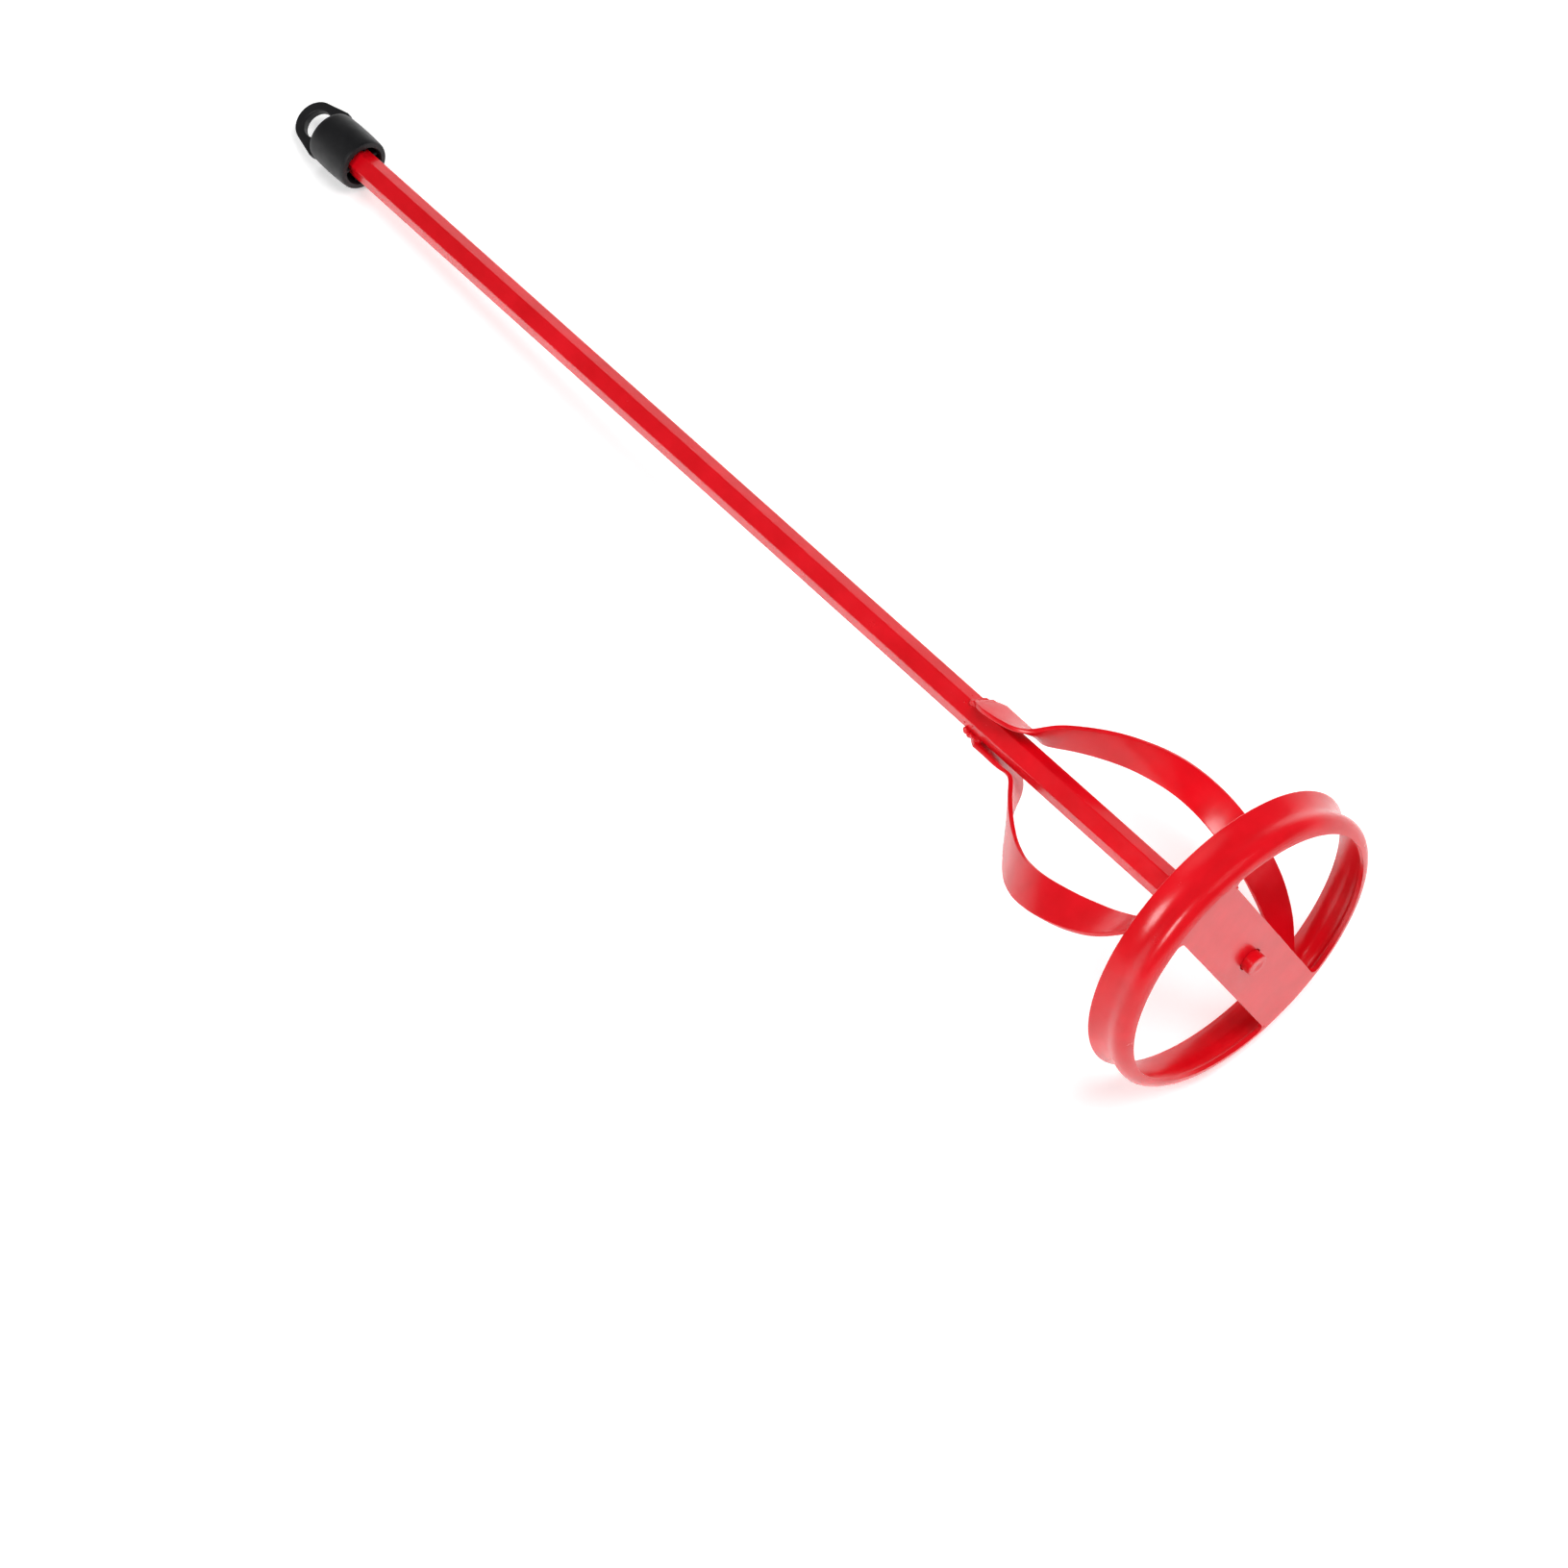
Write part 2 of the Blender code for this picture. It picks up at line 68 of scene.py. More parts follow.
def own_box(node):
    """Lowest and highest corner of a node in the mixer's own frame."""
    back = PLACE.inverted()
    points = np.array([back @ vertex.co for vertex in frame["nodes"][node].data.vertices])
    return Vector(points.min(0)), Vector(points.max(0))


# ---------------------------------------------------------------- sizes

RING_HIGH = own_box("pressed_ring_with_bar")[1]
SHAFT_LOW, SHAFT_HIGH = own_box("hex_shaft")
CAP_LOW, CAP_HIGH = own_box("hanging_cap")
GAP = 0.0003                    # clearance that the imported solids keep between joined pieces

# Hexagonal shaft
HEX_APOTHEM = 0.0040
HEX_ROLL = -7.8                 # degrees from the cross bar to the nearest flat
HEX_EDGE_RADIUS = 0.00055
HEX_EDGE_STEPS = 5
HEX_CORNER_TURN = 30            # degrees from the middle of a flat to the next corner
SHAFT_CHAMFER = 0.0006
SHAFT_RING_SPACING = 0.006
SPIGOT_RADIUS = 0.0032
SPIGOT_ROUNDING = 0.00035
SPIGOT_DIMPLE = 0.00025
SPIGOT_SIDES = 72

# Pressed ring with its cross bar
PACKED_RING_SIDES = 64
RIM_RADIUS = RING_HIGH.y * math.cos(math.pi / PACKED_RING_SIDES)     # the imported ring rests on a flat
RING_HEIGHT = RING_HIGH.z
SHEET = 0.0014
SHOULDER_HEIGHT = SHEET + GAP
RIM_FLARE = 0.00085
BULGE_RADIUS = RIM_RADIUS - RIM_FLARE
FOOT_RADIUS = 0.0036
WAIST_DEPTH = 0.0007
WAIST_SHARE = 0.42              # how far up the wall the waist sits
RIM_SOFTNESS = 0.0004
FLARE_POWER = 1.9               # how late the wall above the waist turns outwards
RING_SIDES = 240
BAR_WIDTH = 0.0195
OPENING_RADIUS = BULGE_RADIUS - FOOT_RADIUS - GAP
OPENING_CORNER = 0.0018
PUNCHED_EDGE = 0.00022
RING_WAVE = (0.011, 0.00012)    # reach and depth of the sheet's unevenness

# Spiral blades
BLADE_WIDTH = 0.0103
BLADE_THICKNESS = 0.0015
BLADE_EDGE = 0.0004
BLADE_TOP = 0.1060
BLADE_RIM_CLEARANCE = 0.0012
BLADE_STEPS = 160
BLADE_WAVE = (0.007, 0.00016)   # reach and depth of the strip's unevenness
PATH_STEP = 0.001               # share of the blade used to find its direction
# One row per bend: share of the drop, share of the reach outwards, turn round the shaft, twist
BLADE_BENDS = (
    (0.000, 0.000, 0.0, 0.0),
    (0.043, 0.028, -9.5, -15.0),
    (0.135, 0.056, -6.5, -23.0),
    (0.193, 0.103, 11.0, -27.0),
    (0.251, 0.250, 39.5, -18.0),
    (0.376, 0.584, 62.5, -18.0),
    (0.560, 0.910, 80.0, -32.0),
    (0.801, 0.962, 96.0, -62.0),
    (1.000, 1.000, 124.5, -90.0),
)
BLADE_TRIM = (0.35, 0.80)       # share of its half width that each side loses at the sheared top
BLADE_TRIM_LENGTH = 0.12        # share of the blade over which that tapers off

# Welds, spatter and drips
BEAD_RADIUS = 0.0012
BEAD_UNEVENNESS = 0.35
WELD_LIFT = 0.0009              # how far the beads' middles stand above the bar
WELD_GRAIN = 0.00016            # size of the cells that melt the beads together
WELD_WAVE = (0.0011, 0.00050)   # reach and depth of the ripples
WELD_PITS = (0.0004, 0.00014)   # reach and depth of the pits
SHAFT_WELD_REACH = 0.0026       # half width of the run over a blade's top
SHAFT_WELD_DEPTH = 0.0002       # how far its beads' middles stand off the shaft's flat
SHAFT_WELD_LIFT = 0.0006        # how far it stands above the blade's top
SHAFT_WELD_WANDER = 0.0008      # how far it wanders up and down
SIDE_WELD_OFFSET = 0.0030       # how far the run down the blade's edge starts from its middle
SIDE_WELD_DRIFT = 0.0006
SIDE_WELD_LENGTH = 0.0035
FOOT_WELD_OFFSET = 0.0007       # how far the fillet's middle stands off the shaft
BAR_WELD_REACH = 0.0042         # half length of the run beside a blade's foot
SPATTER_SEED = 11
SPATTER_BAND = (-0.004, 0.005)  # heights of the spattered part of the shaft from the blades' tops
SPATTER_PATCH = ((0.030, -0.007), (0.039, -0.007), (0.039, 0.007), (0.030, 0.007))
SPATTER_BED = 0.0002            # thickness of the skin that catches the drops on the bar
# Blobs of paint at the openings' corners: middle and radius
DRIPS = (((-0.0386, -0.0096, 0.0003), 0.00050), ((-0.0391, -0.0092, 0.0003), 0.00036),
         ((-0.0384, 0.0096, 0.0003), 0.00036), ((0.0375, 0.0098, 0.0002), 0.00044),
         ((0.0381, 0.0101, 0.0004), 0.00034), ((0.0360, 0.0081, 0.0001), 0.00022))
DRIP_WAVE = (0.0005, 0.00012)

# Cap with its hanging eye
CAP_LENGTH = 0.0180
CAP_RADIUS = 0.0083
CAP_SWELL = 0.00032
CAP_MOUTH_CHAMFER = 0.0007
CAP_END_ROUND = 0.0013
CAP_BORE = 0.0062
CAP_END_WALL = 0.0016
CAP_SIDES = 96
CAP_SWELL_SPAN = (0.08, 0.90)   # shares of the barrel's length between which it swells
RIB_COUNT = 6
RIB_WIDTH = 0.0011
RIB_SET_BACK = 0.0016
RIB_EDGE = 0.00025
EYE_HALF_WIDTH = CAP_HIGH.y
EYE_TIP_RADIUS = 0.0071
EYE_ROOT = 0.0012
EYE_THICKNESS = 0.0030
EYE_HOLE_RADIUS = 0.0046
EYE_HOLE_HEIGHT = 0.0059
EYE_EDGE = 0.0005

# Camera
CAMERA_AZIMUTH = 50.378         # degrees
CAMERA_ELEVATION = 57.732
CAMERA_LENS = 89.44
CAMERA_FROM_FOOT = (0.30670, -0.40990, 0.87289)

# Studio lights: name, direction they stand in, size, power and whether the gloss mirrors them
LIGHT_DISTANCE = 1.5
SOFT_LIGHTS = (("key", (0.03, -0.86, 0.92), 0.55, 8.5, True),
               ("top", (0.40, 0.10, 0.93), 0.90, 15.0, False),
               ("back", (-0.50, 0.80, 0.35), 0.60, 7.0, False))
WORLD_AT_HORIZON = 1.0
WORLD_OVERHEAD = 0.14
FLOOR_SHADE = 0.93
FLOOR_GLOW = 0.36

# Finishes, in linear light
ENAMEL_DEEP = (0.62, 0.0015, 0.006)
ENAMEL_BRIGHT = (0.76, 0.004, 0.012)
PLASTIC_DEEP = (0.007, 0.007, 0.008)
PLASTIC_RUBBED = (0.016, 0.016, 0.017)

# ---------------------------------------------------------------- shared tools

def add_node(tree, kind, settings=None, at=None, **inputs):
    """A node with its settings and inputs; an input is a value or another node's socket."""
    node = tree.nodes.new(kind)
    for key, value in (settings or {}).items():
        setattr(node, key, value)
    wanted = {key.replace("_", " "): value for key, value in inputs.items()}
    wanted.update(at or {})
    for key, value in wanted.items():
        socket = node.inputs[key]
        if isinstance(value, bpy.types.NodeSocket):
            tree.links.new(value, socket)
        else:
            socket.default_value = value
    return node


def show(name, shape):
    """A bmesh as an object of the scene, smooth shaded."""
    mesh = bpy.data.meshes.new(name)
    shape.to_mesh(mesh)
    shape.free()
    mesh.shade_smooth()
    obj = bpy.data.objects.new(name, mesh)
    bpy.context.scene.collection.objects.link(obj)
    return obj


def settle(obj):
    """Turn an object with modifiers into a plain mesh without them."""
    graph = bpy.context.evaluated_depsgraph_get()
    mesh = bpy.data.meshes.new_from_object(obj.evaluated_get(graph))
    obj.modifiers.clear()
    old = obj.data
    obj.data = mesh
    mesh.name = obj.name
    bpy.data.meshes.remove(old)
    return obj


def lay(obj, material, body, slot, *nodes, sharp=40, flat=False):
    """Lay a finished piece where the mixer lies and give it its finish and body; the slot is not used."""
    obj.data.transform(PLACE)
    obj.data.materials.clear()
    obj.data.materials.append(material)
    obj.data.shade_smooth()
    obj.data.set_sharp_from_angle(angle=math.radians(sharp))
    if flat:
        weigh = obj.modifiers.new("weigh", 'WEIGHTED_NORMAL')
        weigh.keep_sharp = True
        settle(obj)
    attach(obj, body)
    if nodes:
        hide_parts(*nodes)
    return obj


def arc(centre, radius, start, end, steps):
    """Points on an arc, both ends included; angles in degrees."""
    angles = np.radians(np.linspace(start, end, steps + 1))
    return [(centre[0] + radius * math.cos(a), centre[1] + radius * math.sin(a)) for a in angles]


def turned(outline, sides):
    """A solid of revolution from a closed outline of (radius, height) points."""
    shape = bmesh.new()
    rings = []
    for radius, height in outline:
        if radius == 0.0:
            rings.append([shape.verts.new((0.0, 0.0, height))])
            continue
        angles = np.arange(sides) * 2 * math.pi / sides
        rings.append([shape.verts.new((radius * math.cos(a), radius * math.sin(a), height)) for a in angles])
    for first, second in zip(rings, rings[1:] + rings[:1]):
        for k in range(sides):
            corners = [first[k % len(first)], first[(k + 1) % sides % len(first)],
                       second[(k + 1) % sides % len(second)], second[k % len(second)]]
            corners = list(dict.fromkeys(corners))
            if len(corners) > 2:
                shape.faces.new(corners)
    bmesh.ops.recalc_face_normals(shape, faces=shape.faces)
    return shape


def lofted(loops):
    """A closed solid through loops of points, capped at both ends."""
    shape = bmesh.new()
    rings = [[shape.verts.new(point) for point in loop] for loop in loops]
    count = len(rings[0])
    for first, second in zip(rings, rings[1:]):
        for k in range(count):
            nxt = (k + 1) % count
            shape.faces.new((first[k], first[nxt], second[nxt], second[k]))
    shape.faces.new(rings[0])
    shape.faces.new(rings[-1])
    bmesh.ops.recalc_face_normals(shape, faces=shape.faces)
    return shape


def combine(obj, shape, operation):
    """Cut or add another shape, and apply it."""
    tool = show("tool", shape)
    change = obj.modifiers.new("combine", 'BOOLEAN')
    change.operation = operation
    change.solver = 'EXACT'
    change.object = tool
    settle(obj)
    bpy.data.objects.remove(tool)


def round_edges(obj, width, segments=3, angle=40):
    """Round the edges sharper than an angle in degrees, and apply it."""
    bevel = obj.modifiers.new("round", 'BEVEL')
    bevel.width = width
    bevel.segments = segments
    bevel.limit_method = 'ANGLE'
    bevel.angle_limit = math.radians(angle)
    settle(obj)


def uneven(obj, reach, depth, seed):
    """Sink a surface along its normals by smooth noise of a given reach, never out past where it was."""
    shift = Vector((seed, 0.0, 0.0))
    moved = []
    for vertex in obj.data.vertices:
        sunk = depth * (1 - noise.noise(vertex.co / reach + shift)) / 2
        moved.append(vertex.co - vertex.normal * sunk)
    for vertex, place in zip(obj.data.vertices, moved):
        vertex.co = place


# ---------------------------------------------------------------- stage


def camera():
    """Looks down on the mixer over the ring's end, from the side."""
    data = bpy.data.cameras.new("camera")
    data.lens = CAMERA_LENS
    data.sensor_width = 36.0
    data.clip_start = 0.01
    data.clip_end = 50.0
    view = bpy.data.objects.new("camera", data)
    bpy.context.scene.collection.objects.link(view)
    view.location = PLACE.translation + Vector(CAMERA_FROM_FOOT)
    view.rotation_euler = (math.pi / 2 - math.radians(CAMERA_ELEVATION), 0.0, math.radians(CAMERA_AZIMUTH))
    bpy.context.scene.camera = view


def soft_light(name, place, size, power, mirrored):
    """A soft disc aimed at the mixer; one that isn't mirrored gives light but no highlight."""
    data = bpy.data.lights.new(name, 'AREA')
    data.shape = 'DISK'
    data.size = size
    data.energy = power
    light = bpy.data.objects.new(name, data)
    bpy.context.scene.collection.objects.link(light)
    light.location = place
    light.visible_glossy = mirrored
    light.rotation_euler = (-place).to_track_quat('-Z', 'Y').to_euler()


def studio():
    """A world that is bright round the horizon and dim overhead, with the soft lights."""
    world = bpy.data.worlds.new("studio")
    bpy.context.scene.world = world
    world.use_nodes = True
    tree = world.node_tree
    backdrop = tree.nodes["Background"]
    direction = add_node(tree, "ShaderNodeTexCoord").outputs["Generated"]
    height = add_node(tree, "ShaderNodeSeparateXYZ", Vector=direction).outputs["Z"]
    strength = add_node(tree, "ShaderNodeMapRange", {"interpolation_type": 'SMOOTHSTEP'}, Value=height,
                        at={"From Min": 0.05, "From Max": 0.20, "To Min": WORLD_AT_HORIZON,
                            "To Max": WORLD_OVERHEAD})
    tree.links.new(strength.outputs["Result"], backdrop.inputs["Strength"])
    backdrop.inputs["Color"].default_value = (1.0, 1.0, 1.0, 1.0)
    for name, direction, size, power, mirrored in SOFT_LIGHTS:
        soft_light(name, Vector(direction).normalized() * LIGHT_DISTANCE, size, power, mirrored)
    bpy.context.scene.view_settings.view_transform = 'Standard'


def floor():
    """A plain pale floor, faintly lit by itself so that the ground stays white."""
    shape = bmesh.new()
    bmesh.ops.create_grid(shape, x_segments=1, y_segments=1, size=6.0)
    mesh = bpy.data.meshes.new("floor")
    shape.to_mesh(mesh)
    shape.free()
    material = bpy.data.materials.new("pale_floor")
    material.use_nodes = True
    shader = material.node_tree.nodes["Principled BSDF"]
    shader.inputs["Base Color"].default_value = (FLOOR_SHADE, FLOOR_SHADE, FLOOR_SHADE, 1.0)
    shader.inputs["Roughness"].default_value = 0.9
    shader.inputs["Emission Color"].default_value = (1.0, 1.0, 1.0, 1.0)
    shader.inputs["Emission Strength"].default_value = FLOOR_GLOW
    mesh.materials.append(material)
    obj = bpy.data.objects.new("floor", mesh)
    bpy.context.scene.collection.objects.link(obj)


# ---------------------------------------------------------------- finishes

def start_finish(name):
    """A new finish: its material, node tree, shader and the place on the piece."""
    material = bpy.data.materials.new(name)
    material.use_nodes = True
    tree = material.node_tree
    place = add_node(tree, "ShaderNodeTexCoord").outputs["Object"]
    return material, tree, tree.nodes["Principled BSDF"], place


def ramp(tree, factor, stops):
    """A colour ramp; stops are (position, colour)."""
    node = add_node(tree, "ShaderNodeValToRGB", Fac=factor)
    points = node.color_ramp.elements
    while len(points) < len(stops):
        points.new(0.5)
    for point, (position, colour) in zip(points, stops):
        point.position = position
        point.color = (*colour, 1.0)
    return node.outputs["Color"]


def red_enamel():
    """Glossy stoved enamel: uneven red, sags, orange peel and fine dust nibs."""
    material, tree, shader, place = start_finish("red_enamel")
    cloud = add_node(tree, "ShaderNodeTexNoise", Vector=place, Scale=70.0, Detail=3.0, Roughness=0.55)
    colour = ramp(tree, cloud.outputs["Fac"], ((0.30, ENAMEL_DEEP), (0.72, ENAMEL_BRIGHT)))
    tree.links.new(colour, shader.inputs["Base Color"])

    smear = add_node(tree, "ShaderNodeTexNoise", Vector=place, Scale=160.0, Detail=4.0, Roughness=0.6)
    gloss = add_node(tree, "ShaderNodeMapRange", Value=smear.outputs["Fac"],
                     at={"From Min": 0.3, "From Max": 0.75, "To Min": 0.20, "To Max": 0.28})
    tree.links.new(gloss.outputs["Result"], shader.inputs["Roughness"])

    peel = add_node(tree, "ShaderNodeTexNoise", Vector=place, Scale=650.0, Detail=1.5, Roughness=0.4)
    sag = add_node(tree, "ShaderNodeTexNoise", Vector=place, Scale=110.0, Detail=1.0, Roughness=0.4)
    nibs = add_node(tree, "ShaderNodeTexVoronoi", Vector=place, Scale=110.0)
    nib_height = add_node(tree, "ShaderNodeMapRange", {"interpolation_type": 'SMOOTHSTEP'},
                          Value=nibs.outputs["Distance"],
                          at={"From Min": 0.02, "From Max": 0.06, "To Min": 1.0, "To Max": 0.0})
    bumps = add_node(tree, "ShaderNodeBump", Height=sag.outputs["Fac"], Strength=0.25, Distance=0.0004)
    bumps = add_node(tree, "ShaderNodeBump", Height=peel.outputs["Fac"], Strength=0.18, Distance=0.00012,
                     Normal=bumps.outputs["Normal"])
    bumps = add_node(tree, "ShaderNodeBump", Height=nib_height.outputs["Result"], Strength=0.22,
                     Distance=0.00005, Normal=bumps.outputs["Normal"])
    tree.links.new(bumps.outputs["Normal"], shader.inputs["Normal"])
    shader.inputs["IOR"].default_value = 1.5
    return material


def black_plastic():
    """Soft moulded polyethylene: satin black with a fine spark grain and rubbed patches."""
    material, tree, shader, place = start_finish("black_plastic")
    patch = add_node(tree, "ShaderNodeTexNoise", Vector=place, Scale=140.0, Detail=4.0, Roughness=0.6)
    colour = ramp(tree, patch.outputs["Fac"], ((0.30, PLASTIC_DEEP), (0.80, PLASTIC_RUBBED)))
    tree.links.new(colour, shader.inputs["Base Color"])
    gloss = add_node(tree, "ShaderNodeMapRange", Value=patch.outputs["Fac"],
                     at={"From Min": 0.3, "From Max": 0.8, "To Min": 0.50, "To Max": 0.38})
    tree.links.new(gloss.outputs["Result"], shader.inputs["Roughness"])
    grain = add_node(tree, "ShaderNodeTexNoise", Vector=place, Scale=2600.0, Detail=2.0)
    wave = add_node(tree, "ShaderNodeTexNoise", Vector=place, Scale=220.0, Detail=1.0)
    bumps = add_node(tree, "ShaderNodeBump", Height=wave.outputs["Fac"], Strength=0.3, Distance=0.0002)
    bumps = add_node(tree, "ShaderNodeBump", Height=grain.outputs["Fac"], Strength=0.35, Distance=0.00006,
                     Normal=bumps.outputs["Normal"])
    tree.links.new(bumps.outputs["Normal"], shader.inputs["Normal"])
    shader.inputs["Specular IOR Level"].default_value = 0.3
    return material


# ---------------------------------------------------------------- shaft

def hexagon(apothem, edge_radius):
    """Outline of a hexagonal bar with rounded edges; a flat faces the hexagon's roll."""
    turn = HEX_CORNER_TURN
    corner_radius = (apothem - edge_radius) / math.cos(math.radians(turn))
    outline = []
    for k in range(6):
        middle = HEX_ROLL + turn * (2 * k + 1)
        angle = math.radians(middle)
        centre = (corner_radius * math.cos(angle), corner_radius * math.sin(angle))
        outline += arc(centre, edge_radius, middle - turn, middle + turn, HEX_EDGE_STEPS)
    return outline


def make_shaft():
    """The hexagonal bar with chamfered ends, and the turned spigot that goes through the cross bar."""
    full = hexagon(HEX_APOTHEM, HEX_EDGE_RADIUS)
    levels = [(SHOULDER_HEIGHT, SHAFT_CHAMFER / 2), (SHOULDER_HEIGHT + SHAFT_CHAMFER / 2, 0.0)]
    steps = int((SHAFT_HIGH.z - SHOULDER_HEIGHT) / SHAFT_RING_SPACING)
    for height in np.linspace(SHOULDER_HEIGHT + SHAFT_CHAMFER, SHAFT_HIGH.z - SHAFT_CHAMFER, steps):
        levels.append((height, 0.0))
    levels.append((SHAFT_HIGH.z, SHAFT_CHAMFER))
    loops = []
    for height, inset in levels:
        shrink = (HEX_APOTHEM - inset) / HEX_APOTHEM
        loops.append([(x * shrink, y * shrink, height) for x, y in full])
    bar = show("hexagonal_shaft", lofted(loops))
    lay(bar, enamel, "mixer", "red_enamel", "hex_shaft", sharp=60, flat=True)

    radius = SPIGOT_RADIUS
    rounding = SPIGOT_ROUNDING
    low = SHAFT_LOW.z
    outline = [(0.0, low + SPIGOT_DIMPLE), (radius * 0.25, low + SPIGOT_DIMPLE * 0.6), (radius * 0.45, low)]
    outline += arc((radius - rounding, low + rounding), rounding, -90, 0, 5)
    outline += [(radius, SHOULDER_HEIGHT + HEX_APOTHEM / 2), (0.0, SHOULDER_HEIGHT + HEX_APOTHEM / 2)]
    spigot = show("turned_spigot", turned(outline, SPIGOT_SIDES))
    lay(spigot, enamel, "mixer", "red_enamel", sharp=50)


# ---------------------------------------------------------------- ring

def wall_radius(height):
    """Outside of the ring's wall: in to the waist, then out to the flared rim."""
    low = FOOT_RADIUS
    top = RING_HEIGHT - RIM_SOFTNESS
    waist = low + WAIST_SHARE * (top - low)
    if height <= waist:
        share = (height - low) / (waist - low)
        return BULGE_RADIUS - WAIST_DEPTH * (1 - math.cos(math.pi * share)) / 2
    share = min((height - waist) / (top - waist), 1.0)
    return BULGE_RADIUS - WAIST_DEPTH + (RIM_RADIUS - BULGE_RADIUS + WAIST_DEPTH) * share ** FLARE_POWER


def ring_outline():
    """The pressed cup's section: flat floor, rounded foot, shallow waist and flared rim with a soft edge."""
    foot = (BULGE_RADIUS - FOOT_RADIUS, FOOT_RADIUS)
    top = RING_HEIGHT - RIM_SOFTNESS
    heights = np.linspace(FOOT_RADIUS, top, 15)[1:]
    outside = [(wall_radius(h), h) for h in heights]
    back = [(wall_radius(h) - SHEET, h) for h in reversed(heights)]
    soft = RIM_SOFTNESS
    rim = arc((RIM_RADIUS - soft, RING_HEIGHT - soft), soft, 0, 90, 4)
    rim += arc((RIM_RADIUS - SHEET + soft, RING_HEIGHT - soft), soft, 90, 180, 4)
    return ([(0.0, 0.0)] + arc(foot, FOOT_RADIUS, -90, 0, 12) + outside + rim + back
            + arc(foot, FOOT_RADIUS - SHEET, 0, -90, 10) + [(0.0, SHEET)])


def opening_outline(side):
    """One D-shaped opening beside the bar, with rounded corners; side is +1 or -1."""
    chord = BAR_WIDTH / 2
    centre_y = chord + OPENING_CORNER
    centre_x = math.sqrt((OPENING_RADIUS - OPENING_CORNER) ** 2 - centre_y ** 2)
    meet = math.degrees(math.atan2(centre_y, centre_x))
    points = arc((centre_x, centre_y), OPENING_CORNER, -90, meet, 8)
    points += arc((0.0, 0.0), OPENING_RADIUS, meet, 180 - meet, 120)[1:-1]
    points += arc((-centre_x, centre_y), OPENING_CORNER, 180 - meet, 270, 8)
    return [(x, side * y) for x, y in points]


def make_ring():
    """The ring and its cross bar, pressed from one sheet, with its two openings punched out."""
    ring = show("pressed_ring", turned(ring_outline(), RING_SIDES))
    for side in (1, -1):
        outline = opening_outline(side)
        punch = lofted([[(x, y, height) for x, y in outline] for height in (-SHEET, 2 * SHEET)])
        combine(ring, punch, 'DIFFERENCE')
    radius = SPIGOT_RADIUS + GAP
    hole = [(0.0, -SHEET), (radius, -SHEET), (radius, 2 * SHEET), (0.0, 2 * SHEET)]
    combine(ring, turned(hole, SPIGOT_SIDES), 'DIFFERENCE')
    round_edges(ring, PUNCHED_EDGE, segments=3, angle=50)
    uneven(ring, *RING_WAVE, 3.0)
    lay(ring, enamel, "mixer", "red_enamel", "pressed_ring_with_bar", sharp=35, flat=True)


# ---------------------------------------------------------------- blades

def smooth_curve(values):
    """A natural cubic spline through evenly spaced values, as a function of a share from 0 to 1."""
    values = np.asarray(values, float)
    last = len(values) - 1
    system = np.eye(last + 1)
    right = np.zeros(last + 1)
    for k in range(1, last):
        system[k, k - 1:k + 2] = (1, 4, 1)
        right[k] = 6 * (values[k - 1] - 2 * values[k] + values[k + 1])
    bend = np.linalg.solve(system, right)

    def at(share):
        k = min(int(share * last), last - 1)
        t = share * last - k
        rest = 1 - t
        return (rest * values[k] + t * values[k + 1]
                + (rest ** 3 - rest) * bend[k] / 6 + (t ** 3 - t) * bend[k + 1] / 6)
    return at


def blade_path():
    """Stations down one blade: share of its length, centre and direction across the strip."""
    drop, reach, turn, twist = (smooth_curve(column) for column in zip(*BLADE_BENDS))
    start_radius = HEX_APOTHEM + GAP + BLADE_THICKNESS / 2
    end_radius = BULGE_RADIUS - SHEET - BLADE_RIM_CLEARANCE - BLADE_WIDTH / 2
    landing = SHOULDER_HEIGHT + BLADE_THICKNESS / 2

    def centre(share):
        radius = start_radius + reach(share) * (end_radius - start_radius)
        angle = math.radians(HEX_ROLL + 60 + turn(share))
        height = BLADE_TOP + drop(share) * (landing - BLADE_TOP)
        return Vector((radius * math.cos(angle), radius * math.sin(angle), height)), angle

    stations = []
    for share in np.linspace(0, 1, BLADE_STEPS + 1):
        point, angle = centre(share)
        ahead = centre(min(share + PATH_STEP, 1.0))[0]
        behind = centre(max(share - PATH_STEP, 0.0))[0]
        along = (ahead - behind).normalized()
        round_shaft = Vector((-math.sin(angle), math.cos(angle), 0.0))
        level = (round_shaft - along * round_shaft.dot(along)).normalized()
        lean = math.radians(twist(share))
        across = level * math.cos(lean) + along.cross(level) * math.sin(lean)
        stations.append((share, point, across))
    return stations


def start_tree(name, numbers):
    """A geometry tree with named number inputs and a finish; returns it and its given values."""
    tree = bpy.data.node_groups.new(name, 'GeometryNodeTree')
    sockets = tree.interface
    sockets.new_socket("Geometry", in_out='INPUT', socket_type='NodeSocketGeometry')
    for key, value in numbers.items():
        sockets.new_socket(key, in_out='INPUT', socket_type='NodeSocketFloat').default_value = value
    sockets.new_socket("Finish", in_out='INPUT', socket_type='NodeSocketMaterial')
    sockets.new_socket("Geometry", in_out='OUTPUT', socket_type='NodeSocketGeometry')
    return tree, tree.nodes.new("NodeGroupInput").outputs


def end_tree(tree, given, geometry):
    """Close a tree with real geometry and its finish."""
    real = add_node(tree, "GeometryNodeRealizeInstances", Geometry=geometry)
    done = add_node(tree, "GeometryNodeSetMaterial", Geometry=real.outputs["Geometry"],
                    Material=given["Finish"])
    add_node(tree, "NodeGroupOutput", Geometry=done.outputs["Geometry"])
    return tree


def grow(obj, tree, finish):
    """Run a geometry tree on an object and keep the result as its plain mesh."""
    change = obj.modifiers.new(tree.name, 'NODES')
    change.node_group = tree
    for item in tree.interface.items_tree:
        if item.name == "Finish":
            change[item.identifier] = finish
    return settle(obj)


